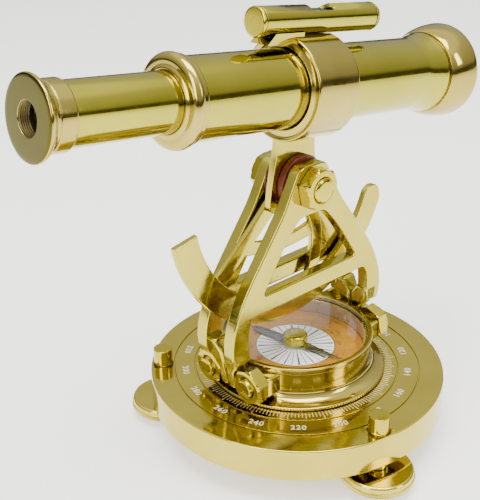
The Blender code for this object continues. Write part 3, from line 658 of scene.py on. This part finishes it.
for name, y_low, y_high, side in (("front_a_frame", -8.0, -3.2, -1), ("rear_a_frame", 6.0, 10.8, 1)):
    mesh = plate_mesh(name + "_plate", [outline, opening, circle(0.0, PIVOT_Z, 4.7)], y_high - y_low, 0.7)
    dress(name + "_cast", mesh, PLATED, at(0.0, (y_low + y_high) / 2.0, 0.0) @ PLATE, "alidade", [name])
    for end in (-1, 1):
        tag = "%s_%s" % (name, "left" if end < 0 else "right")
        bm = bmesh.new()
        section = [(0.3, 16.5), (3.7, 16.5), (3.7, 23.6), (8.0, 29.4), (8.0, 35.0), (3.4, 35.0), (0.3, 30.5)]
        inside = []
        outside = []
        for y, z in section:
            reach = 34.4 + 0.17 * (z - 16.5)
            inside.append(bm.verts.new((end * 30.4 * MM, side * y * MM, z * MM)))
            outside.append(bm.verts.new((end * reach * MM, side * y * MM, z * MM)))
        bm.faces.new(inside)
        bm.faces.new(list(reversed(outside)))
        for i in range(len(section)):
            j = (i + 1) % len(section)
            bm.faces.new((inside[i], outside[i], outside[j], inside[j]))
        soften(to_object(tag + "_foot", bm, PLATED, ROW, "alidade"), 1.1)
        bm = bmesh.new()
        y0, y1 = sorted((side * 0.35, side * 15.4))
        x0, x1 = sorted((end * 22.0, end * 29.8))
        block(bm, (x0, y0, 16.6), (x1, y1, 24.1))
        ear = to_object(tag + "_ear", bm, PLATED, ROW, "alidade")
        core = lathe(tag + "_clear", [(0.0, 10.0), (28.1, 10.0, 0.0), (28.1, 30.0, 0.0), (0.0, 30.0)],
                     PLATED, ROW,
                     "alidade", (), 128, 0.0)
        cut_with(ear, core)
        soften(ear, 0.7)

for face, side in (("front", -1), ("rear", 1)):
    for end in (-1, 1):
        tag = "%s_%s" % (face, "left" if end < 0 else "right")
        turned_out = Matrix.Rotation(math.pi, 4, 'Z') if end < 0 else Matrix.Identity(4)
        place = at(0.0, side * 10.0, 20.6) @ turned_out @ ALONG_X
        rod = threaded(3.5, 29.0, 35.4, 0.8, 0.32)
        stud = [(0.0, 25.6), (3.2, 25.6, 0.0), (3.2, 29.0, 0.0)] + rod + [(3.0, 36.2, 0.5), (0.0, 36.2)]
        lathe("stud_" + tag, stud, SMALL, place, "alidade", ["foot_stud_" + tag], 64, 0.2)
        hexagon("nut_" + tag, 6.9, 3.6, 30.0, 35.0, SMALL, place, "alidade", ["foot_nut_" + tag], 20.0)

# ------------------------------------------------------------ pivot hardware
AXLE = at(0.0, 0.0, PIVOT_Z) @ ALONG_Y
BACK_AXLE = at(0.0, 0.0, PIVOT_Z) @ Matrix.Rotation(math.pi, 4, 'Z') @ ALONG_Y
bolt = [(0.0, -13.9), (3.3, -13.75, 0.6), (4.4, -13.1, 0.4), (4.4, 12.0, 0.0)]
bolt += threaded(4.4, 12.0, 16.0, 0.9, 0.4)
bolt += [(3.4, 17.0, 0.5), (0.0, 17.4)]
lathe("axle_bolt", bolt, SMALL, AXLE, "alidade", ["pivot_bolt"], 96, 0.3)
hexagon("axle_nut_front", 8.1, 4.5, 8.2, 12.8, SMALL, BACK_AXLE, "alidade", ["pivot_nut_front"], 12.0)
hexagon("axle_nut_rear", 8.1, 4.5, 11.0, 16.0, SMALL, AXLE, "alidade", ["pivot_nut_rear"], 24.0)
lathe("fibre_front", [(4.7, -3.0), (10.2, -3.0, 0.35), (10.2, -0.5, 0.35), (4.7, -0.5)], FIBRE, AXLE,
      "alidade",
      ["washer_front"], 96, 0.05)
lathe("fibre_rear", [(4.7, 5.25), (10.2, 5.25, 0.12), (10.2, 5.85, 0.12), (4.7, 5.85)], FIBRE, AXLE,
      "alidade",
      ["washer_rear"], 96, 0.05)

# ------------------------------------------------------------------- collar
collar_section = [
    (13.8, -8.2), (14.2, -8.5, 0.2), (16.2, -7.6, 1.0), (17.3, -8.45, 0.4), (17.9, -8.2, 0.3),
    (18.0, -7.4, 0.4),
    (18.0, 11.1, 0.5), (17.4, 11.7, 0.3), (13.8, 11.7),
]
band = lathe("collar_band", collar_section, CAST, SCOPE, "telescope", ["collar"], 224, 0.2)
mid_x = AXIS_SHIFT + 1.95
leg = [(mid_x - 9.8, AXIS_UP - 15.6, 0.0), (mid_x - 9.5, AXIS_UP - 22.0, 3.0), (-12.8, 0.0, 6.0),
       (-12.8, -10.4, 4.0)]
leg += [(x, z, 1.0) for x, z in ring_points(0.0, -0.6, 10.4, 262.0, 386.0, 24)]
leg += [(9.6, 4.6, 3.0), (mid_x + 9.2, AXIS_UP - 22.0, 4.0), (mid_x + 9.6, AXIS_UP - 15.6, 0.0)]
dress("collar_stem", plate_mesh("collar_stem", [rounded(leg, True), circle(0.0, 0.0, 4.5)], 2.7, 0.45),
      PLATED,
      TILTED @ at(0.0, 1.05, 0.0) @ PLATE, "telescope")
bm = bmesh.new()
section = [(-19.6, 15.3), (-7.0, 14.5), (-3.0, 16.0), (-3.0, 18.8), (-16.0, 18.8)]
front = [bm.verts.new(((AXIS_SHIFT + x) * MM, -4.1 * MM, (AXIS_UP + z) * MM)) for x, z in section]
behind = [bm.verts.new(((AXIS_SHIFT + x) * MM, 4.1 * MM, (AXIS_UP + z) * MM)) for x, z in section]
bm.faces.new(front)
bm.faces.new(list(reversed(behind)))
for i in range(len(section)):
    j = (i + 1) % len(section)
    bm.faces.new((front[i], behind[i], behind[j], front[j]))
lug = to_object("collar_lug_cast", bm, PLATED, TILTED, "telescope")
seat = lathe("level_seat_cutter", [(0.0, -60.0), (5.25, -60.0, 0.0), (5.25, 60.0, 0.0), (0.0, 60.0)],
             CAST, LEVEL,
             "telescope", (), 96, 0.0)
cut_with(band, seat)
cut_with(lug, seat)

# ---------------------------------------------------------------- telescope
tube = [
    (12.2, -53.8), (13.5, -53.8, 0.2), (13.5, 54.0, 0.0), (13.5, 57.0, 1.5), (13.85, 60.0, 1.5),
    (14.5, 64.0, 1.5),
    (14.9, 65.8, 0.3), (14.9, 66.2, 0.2), (14.05, 66.5, 0.15), (14.05, 67.3, 0.1), (13.6, 67.3, 0.1),
    (13.6, 74.6), (12.2, 74.6),
]
lathe("long_tube", tube, DRAWN, SCOPE, "telescope", ["main_tube"], 224, 0.15)
end_ring = [
    (9.71, -57.3), (10.4, -57.3, 0.3), (10.9, -57.0, 0.3), (11.3, -56.7, 0.2), (13.0, -56.75, 1.0),
    (14.3, -56.1, 1.0),
    (15.1, -54.9, 0.6), (15.0, -53.9, 0.3), (14.5, -53.5, 0.15), (14.5, -51.9, 0.3), (14.1, -51.4, 0.2),
    (13.8, -51.4),
    (13.8, -54.2), (9.71, -54.2),
]
lathe("eye_end_ring", end_ring, CAST, SCOPE, "telescope", ["tube_end_ring"], 224, 0.2)
objective = [
    (13.9, 67.5), (15.2, 67.5, 0.2), (16.3, 69.3, 1.5), (17.3, 72.4, 2.0), (17.9, 76.0, 2.0),
    (18.1, 78.6, 1.0),
    (17.9, 80.0, 0.6), (17.2, 80.8, 0.4), (16.0, 80.8, 0.4), (14.9, 80.3, 0.4), (14.4, 79.6, 0.2),
    (14.4, 76.4),
    (12.9, 76.4), (12.9, 75.0), (13.9, 75.0),
]
lathe("objective_cell", objective, CAST, SCOPE, "telescope", ["objective_ring"], 224, 0.2)
lathe("objective_glass", [(0.0, 76.6), (6.0, 76.65, 3.0), (14.1, 76.75, 0.1), (14.1, 77.9, 0.1),
                          (6.0, 78.8, 3.0), (0.0, 79.0)],
      LENS, SCOPE, "telescope", ["objective_lens"], 96)
retainer = [(12.9, 78.2), (14.1, 78.2, 0.1), (14.1, 79.6, 0.1), (13.5, 79.6, 0.2), (12.9, 79.1, 0.1)]
lathe("objective_retainer", retainer, DARK_BRASS, SCOPE, "telescope", ["lens_retainer"], 96, 0.1)
lathe("baffle", [(11.0, 66.0), (12.15, 66.0), (12.15, 74.5), (11.0, 74.5)], BLACKED, SCOPE, "telescope",
      (), 96, 0.1)
lathe("slide_tube", [(8.5, -98.1), (9.63, -98.1, 0.2), (9.63, -34.0, 0.2), (8.5, -34.0)], DRAWN, SCOPE,
      "eyepiece",
      ["draw_tube"], 192, 0.1)
cup = [(5.1, -103.5, 0.25), (11.5, -103.5, 0.6), (12.4, -103.3, 0.3), (12.6, -102.7, 0.4),
       (12.3, -102.0, 0.6),
       (11.6, -101.3, 0.8), (10.9, -100.75, 0.6), (10.5, -100.3, 0.4), (10.5, -99.5, 0.1),
       (10.3, -99.35, 0.1),
       (10.3, -99.1, 0.1), (10.5, -98.95, 0.1), (10.5, -94.1, 0.3), (10.2, -93.7, 0.2), (9.93, -93.7),
       (9.93, -98.4),
       (8.0, -98.4), (8.0, -99.7), (4.9, -99.7)]
eye_cup = lathe("eye_cup", cup, CAST, SCOPE, "eyepiece", ["eyepiece_cup"], 192, 0.2)
eye_cup.data.materials.append(DARK_END_FACE)
# the flat end face of the eye cup takes the near-black brass
for face in eye_cup.data.polygons:
    if face.normal.z < -0.8 and face.center.z < -103.3 * MM:
        face.material_index = 1
thread_turns = [(5.2, -103.2, 0.0)]
for turn in range(5):
    thread_turns += [(5.0, -103.1 + turn * 0.66, 0.0), (4.72, -102.77 + turn * 0.66, 0.0)]
thread_turns += [(5.2, -99.75, 0.0)]
lathe("eye_thread", thread_turns, DARK_BRASS, SCOPE, "eyepiece", (), 96, 0.0)
lathe("eye_glass", [(0.0, -99.3), (7.7, -98.9, 0.1), (7.7, -97.9, 0.1), (0.0, -97.2)], LENS, SCOPE,
      "eyepiece", ["eye_lens"], 64)
lathe("eye_baffle", [(4.6, -94.0), (8.45, -94.0), (8.45, -93.0), (4.6, -93.0)], BLACKED, SCOPE,
      "eyepiece", (), 64, 0.1)
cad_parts["draw_stop_ring"].data.materials[0] = DARK_BRASS

# ------------------------------------------------------------- spirit level
case = lathe("level_body", [(3.75, -20.9), (4.95, -20.9, 0.15), (4.95, 32.4, 0.15), (3.75, 32.4)], DRAWN,
             LEVEL,
             "telescope", ["level_case"], 128, 0.1)
bm = bmesh.new()
block(bm, (AXIS_SHIFT, -9.0, AXIS_UP + LEVEL_UP + 3.1), (AXIS_SHIFT + 12.8, 9.0, AXIS_UP + LEVEL_UP + 9.0))
slot_cut = to_object("level_slot_cutter", bm, DRAWN, TILTED, "telescope", (), 34.0, False)
slot_edge = slot_cut.modifiers.new("edge", 'BEVEL')
slot_edge.width = 0.0022
slot_edge.segments = 6
cut_with(case, slot_cut)
lathe("level_end_front", [(0.0, -22.5), (4.5, -22.5, 0.3), (5.05, -22.1, 0.2), (5.05, -21.2, 0.1),
                          (3.5, -21.2, 0.1),
                          (3.5, -18.0, 0.1), (0.0, -18.0)],
      SMALL, LEVEL, "telescope", ["level_cap_front"], 96)
lathe("level_end_rear", [(0.0, 30.0), (3.5, 30.0, 0.1), (3.5, 32.7, 0.1), (5.05, 32.7, 0.1),
                         (5.05, 33.4, 0.6),
                         (4.4, 34.9, 0.8), (3.0, 35.6, 0.8), (0.0, 35.8)],
      SMALL, LEVEL, "telescope", ["level_cap_rear"], 96)
lathe("level_tube", [(0.0, -15.0), (2.4, -14.6, 0.8), (3.2, -13.4, 0.8), (3.2, 26.4, 0.8),
                     (2.4, 27.6, 0.8), (0.0, 28.0)],
      SPIRIT, LEVEL, "telescope", ["level_vial"], 64)
for number, place_z in enumerate((2.8, 9.4)):
    lathe("level_line_%d" % number, [(3.21, place_z), (3.3, place_z), (3.3, place_z + 0.3),
                                     (3.21, place_z + 0.3)], INK,
          LEVEL, "telescope", (), 64, 0.0)
lathe("level_bubble", [(0.0, 3.0), (0.9, 3.2, 0.6), (1.15, 4.0, 0.6), (1.15, 8.0, 0.6), (0.9, 8.8, 0.6),
                       (0.0, 9.0)], CLEAR,
      LEVEL @ at(-1.8, 0.0, 0.0), "telescope", (), 48)

# ------------------------------------------------------------- vertical arc
end_a, end_b = -163.0, -17.0
tip_x = 49.3 * math.cos(math.radians(end_b))
tip_z = 49.3 * math.sin(math.radians(end_b))
rim = ring_points(0.0, 0.0, 54.6, end_a, end_b, 120)
rim += ring_points(tip_x, tip_z, 5.0, end_b + 8.0, end_b + 172.0, 24)
rim += ring_points(0.0, 0.0, 44.4, end_b, end_a, 110)
dress("arc_rim", plate_mesh("arc_rim", [rim], 2.4, 0.5), PLATED, TILTED @ at(0.0, 3.9, 0.0) @ PLATE,
      "telescope",
      ["vertical_arc"])


def ribbon(start, control, end, width, steps=28):
    left = []
    right = []
    for i in range(steps + 1):
        t = i / steps
        x = (1 - t) ** 2 * start[0] + 2 * t * (1 - t) * control[0] + t * t * end[0]
        z = (1 - t) ** 2 * start[1] + 2 * t * (1 - t) * control[1] + t * t * end[1]
        dx = 2 * (1 - t) * (control[0] - start[0]) + 2 * t * (end[0] - control[0])
        dz = 2 * (1 - t) * (control[1] - start[1]) + 2 * t * (end[1] - control[1])
        size = math.hypot(dx, dz)
        flare = width * (1.0 + 0.35 * (2.0 * t - 1.0) ** 4)
        left.append((x - dz / size * flare / 2, z + dx / size * flare / 2))
        right.append((x + dz / size * flare / 2, z - dx / size * flare / 2))
    return left + list(reversed(right))


for name, shape, thin in (("arc_spoke_right", ribbon((5.0, -5.0), (24.0, -20.0), (14.0, -47.0), 5.6), 2.2),
                          ("arc_spoke_left", ribbon((-5.0, -5.0), (-22.0, -24.0), (-33.0, -35.0), 5.6), 2.16),
                          ("arc_spoke_link", ribbon((-20.4, -22.0), (-2.0, -27.0), (16.0, -20.0), 4.8), 2.1)):
    dress(name, plate_mesh(name, [shape], thin, 0.5), PLATED, TILTED @ at(0.0, 3.9, 0.0) @ PLATE, "telescope")
dress("arc_boss", plate_mesh("arc_boss", [circle(0.0, 0.0, 9.7, 96), circle(0.0, 0.0, 4.5)], 2.3, 0.4),
      PLATED,
      TILTED @ at(0.0, 3.9, 0.0) @ PLATE, "telescope")

# -------------------------------------------------------------------- stage
floor_mat, tree, bsdf = new_tree("pale_floor", 0.55, 0.0)
place, _ = ring_coords(tree)
pale = ramp(tree, noise(tree, place, 3.0), [(0.3, (0.94, 0.94, 0.93)), (0.7, (0.96, 0.96, 0.955))])
tree.links.new(pale, bsdf.inputs["Base Color"])
tree.links.new(pale, bsdf.inputs["Emission Color"])
bsdf.inputs["Emission Strength"].default_value = 0.8
bm = bmesh.new()
bmesh.ops.create_grid(bm, x_segments=8, y_segments=8, size=8.0)
mesh = bpy.data.meshes.new("floor")
bm.to_mesh(mesh)
bm.free()
mesh.materials.append(floor_mat)
floor = bpy.data.objects.new("floor", mesh)
floor.location = (0.0, 0.0, -9.65 * MM)
bpy.context.scene.collection.objects.link(floor)

world = bpy.data.worlds.new("studio")
world.use_nodes = True
bpy.context.scene.world = world
tree = world.node_tree
coord = node(tree, "ShaderNodeTexCoord")
split = node(tree, "ShaderNodeSeparateXYZ")
tree.links.new(coord.outputs["Generated"], split.inputs["Vector"])
sky = ramp(tree, spread(tree, split.outputs["Z"], 0.0, 1.0, -0.4, 1.0), [
    (0.0, (0.12, 0.115, 0.10)), (0.375, (0.10, 0.095, 0.08)), (0.44, (0.52, 0.52, 0.50)),
    (0.61, (0.76, 0.76, 0.74)),
    (0.74, (0.95, 0.95, 0.93)), (0.81, (1.5, 1.5, 1.47)), (1.0, (1.5, 1.5, 1.47))])
background = tree.nodes["Background"]
tree.links.new(sky, background.inputs["Color"])
background.inputs["Strength"].default_value = 1.0


def softbox(name, place, aim, width, height, power, colour=(1.0, 0.99, 0.97)):
    data = bpy.data.lights.new(name, 'AREA')
    data.shape = 'RECTANGLE'
    data.size = width
    data.size_y = height
    data.energy = power
    data.color = colour
    lamp = bpy.data.objects.new(name, data)
    lamp.location = place
    lamp.rotation_euler = (Vector(aim) - Vector(place)).to_track_quat('-Z', 'Y').to_euler()
    bpy.context.scene.collection.objects.link(lamp)


softbox("top_box", (-0.1, -0.1, 1.1), (0.0, 0.0, 0.05), 0.9, 0.5, 16.0)
softbox("left_box", (-1.1, -0.2, 0.7), (0.0, 0.0, 0.08), 0.5, 0.8, 9.0)
softbox("right_box", (0.5, -1.2, 0.8), (0.0, 0.0, 0.08), 0.35, 0.6, 6.0)

# ------------------------------------------------------------------- camera
yaw, pitch, roll = math.radians(-40.083), math.radians(21.978), math.radians(-1.867)
right = Vector((math.cos(yaw), math.sin(yaw), 0.0))
back = Vector((math.sin(yaw) * math.cos(pitch), -math.cos(yaw) * math.cos(pitch), math.sin(pitch)))
up = back.cross(right)
turned_right = right * math.cos(roll) + up * math.sin(roll)
turned_up = up * math.cos(roll) - right * math.sin(roll)
data = bpy.data.cameras.new("camera")
data.sensor_fit = 'HORIZONTAL'
data.sensor_width = 36.0
data.lens = 67.8
data.shift_x = 0.070
data.shift_y = -0.113
data.clip_start = 0.01
data.clip_end = 50.0
camera = bpy.data.objects.new("camera", data)
pose = Matrix((turned_right, turned_up, back)).transposed().to_4x4()
pose.translation = Vector((-0.21513, -0.20616, 0.20051))
camera.matrix_world = pose
bpy.context.scene.collection.objects.link(camera)
bpy.context.scene.camera = camera

for cutter in [o for o in bpy.context.scene.objects if o.type == 'MESH' and o.hide_render]:
    cutter.display_type = 'WIRE'
